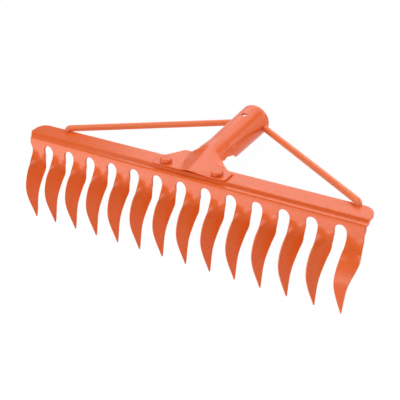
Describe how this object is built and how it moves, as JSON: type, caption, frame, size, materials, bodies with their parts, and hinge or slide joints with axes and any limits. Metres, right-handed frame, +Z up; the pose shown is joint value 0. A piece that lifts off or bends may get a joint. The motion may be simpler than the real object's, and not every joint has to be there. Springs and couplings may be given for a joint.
{
  "type": "garden rake head",
  "caption": "Pressed steel gravel rake head with twisted bowed tines, a rolled handle socket bolted on and two brace rods, painted orange",
  "frame": {"origin": "on the floor, under the middle of the head's outline, with the head lying on its tine points and the rim of its socket", "axes": "+X along the blade, from its left end to its right end as seen from the tines' side; +Y from the tines towards the handle; +Z up"},
  "size_m": [0.3712, 0.183, 0.0724],
  "materials": {
    "blade_paint": "semi-gloss orange powder coat",
    "socket_paint": "semi-gloss orange powder coat",
    "bolt_left_paint": "semi-gloss orange powder coat",
    "bolt_right_paint": "semi-gloss orange powder coat",
    "nut_left_paint": "semi-gloss orange powder coat",
    "nut_right_paint": "semi-gloss orange powder coat",
    "brace_left_paint": "semi-gloss orange powder coat",
    "brace_right_paint": "semi-gloss orange powder coat"
  },
  "bodies": {
    "root": {"rake_blade": "blade_paint", "socket": "socket_paint", "bolt_left": "bolt_left_paint", "bolt_right": "bolt_right_paint", "nut_left": "nut_left_paint", "nut_right": "nut_right_paint", "brace_left": "brace_left_paint", "brace_right": "brace_right_paint"}
  },
  "joints": []
}
